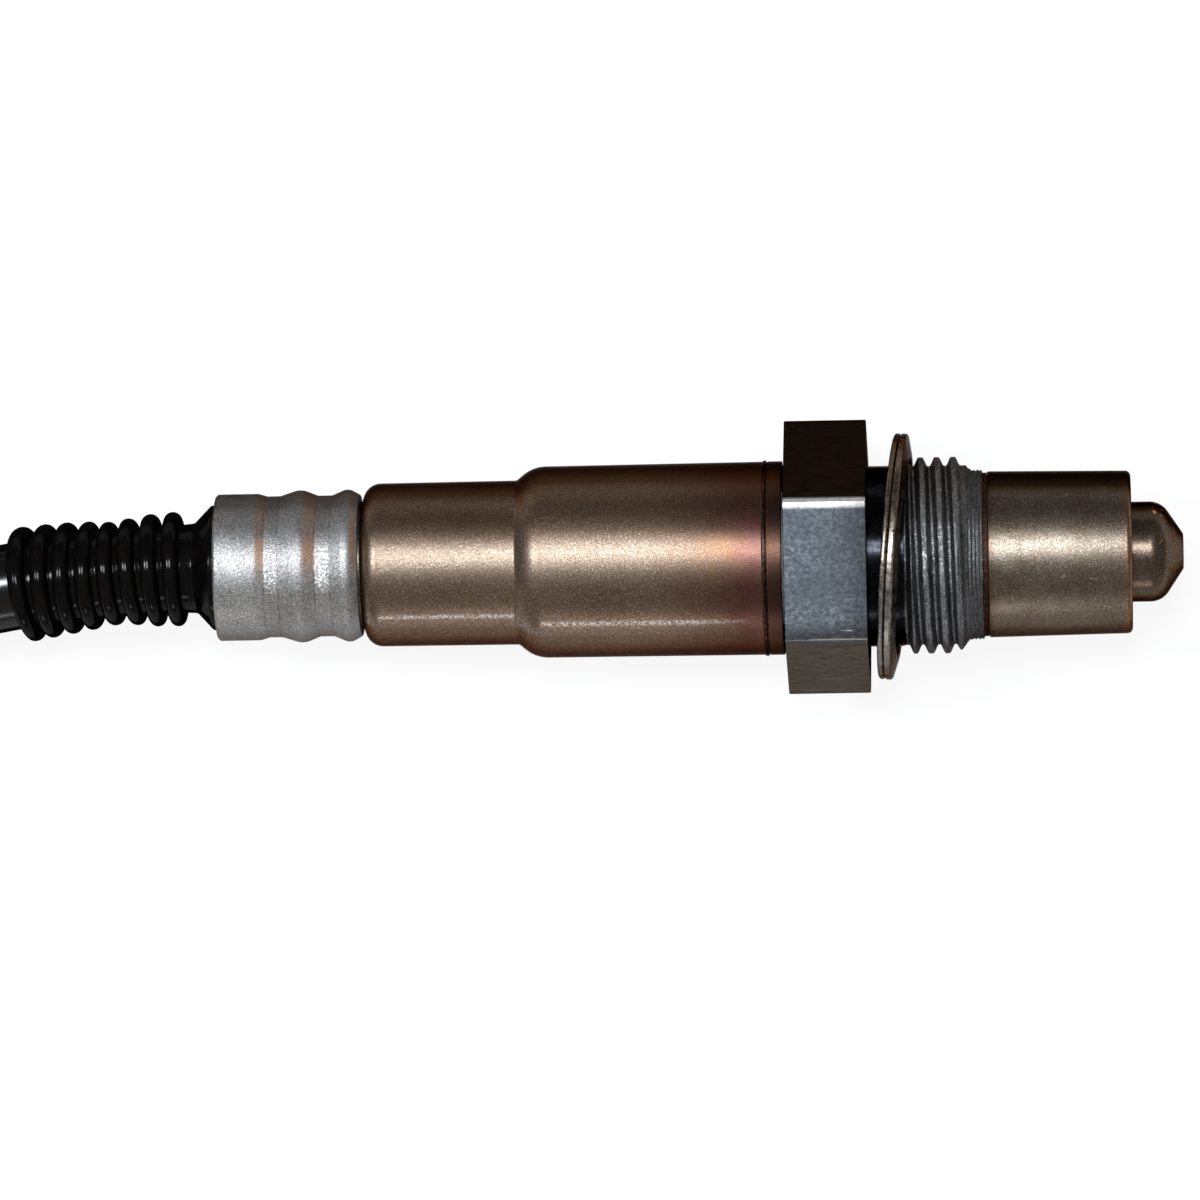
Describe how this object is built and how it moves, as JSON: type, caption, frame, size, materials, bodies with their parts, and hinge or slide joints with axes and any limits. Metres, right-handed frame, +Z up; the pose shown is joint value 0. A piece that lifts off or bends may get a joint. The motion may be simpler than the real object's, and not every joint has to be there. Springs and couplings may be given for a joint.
{
  "type": "oxygen sensor",
  "caption": "Exhaust gas oxygen sensor with a screw-in hexagon body, folded sealing ring, bellows boot and a sleeved lead coiled up to its plug.",
  "frame": {"origin": "on the axis at the front face of the hexagon, the seat of the sealing ring", "axes": "+X along the axis to the sensing tip, +Z up, one wrench flat down at z = -11 mm, which is the surface that the part lies on"},
  "size_m": [0.2161, 0.0989, 0.0269],
  "materials": {
    "housing_steel": "semi_gloss",
    "gasket_steel": "satin",
    "tube_steel": "satin",
    "nub_steel": "satin",
    "sleeve_steel": "satin",
    "ferrule_steel": "matt",
    "terminal_metal": "satin",
    "sensing_ceramic": "matt",
    "ceramic": "matt",
    "packed_powder": "matt",
    "grommet_rubber": "matt",
    "boot_rubber": "gloss",
    "hose_rubber": "semi_gloss",
    "tie_plastic": "satin",
    "plug_plastic": "satin",
    "lock_plastic": "satin",
    "pin_brass": "satin",
    "wire_red": "satin",
    "wire_yellow": "satin",
    "wire_black": "satin",
    "wire_white": "satin",
    "wire_grey": "satin"
  },
  "bodies": {
    "root": {"bellows_boot": "boot_rubber", "clamp_ring": "tube_steel", "coil_tie": "tie_plastic", "contact_clip": "terminal_metal", "contact_holder_lower": "ceramic", "contact_holder_upper": "ceramic", "crimp_ferrule": "ferrule_steel", "front_ceramic_bush": "ceramic", "hex_housing": "housing_steel", "inner_protection_tube": "nub_steel", "lead_coil": "hose_rubber", "lead_run": "hose_rubber", "lead_tail": "hose_rubber", "outer_protection_tube": "tube_steel", "outer_sleeve": "sleeve_steel", "plug_gland": "boot_rubber", "plug_housing": "plug_plastic", "plug_pin_1": "pin_brass", "plug_pin_2": "pin_brass", "plug_pin_3": "pin_brass", "plug_pin_4": "pin_brass", "plug_pin_5": "pin_brass", "plug_pin_6": "pin_brass", "plug_pin_lock": "lock_plastic", "plug_wire_seal": "grommet_rubber", "powder_seal": "packed_powder", "rear_ceramic_bush": "ceramic", "sealing_ring": "gasket_steel", "sensor_element": "sensing_ceramic", "terminal_black": "terminal_metal", "terminal_grey": "terminal_metal", "terminal_red": "terminal_metal", "terminal_white": "terminal_metal", "terminal_yellow": "terminal_metal", "trim_resistor": "sensing_ceramic", "wire_black": "wire_black", "wire_grey": "wire_grey", "wire_grommet": "grommet_rubber", "wire_red": "wire_red", "wire_white": "wire_white", "wire_yellow": "wire_yellow"}
  },
  "joints": []
}
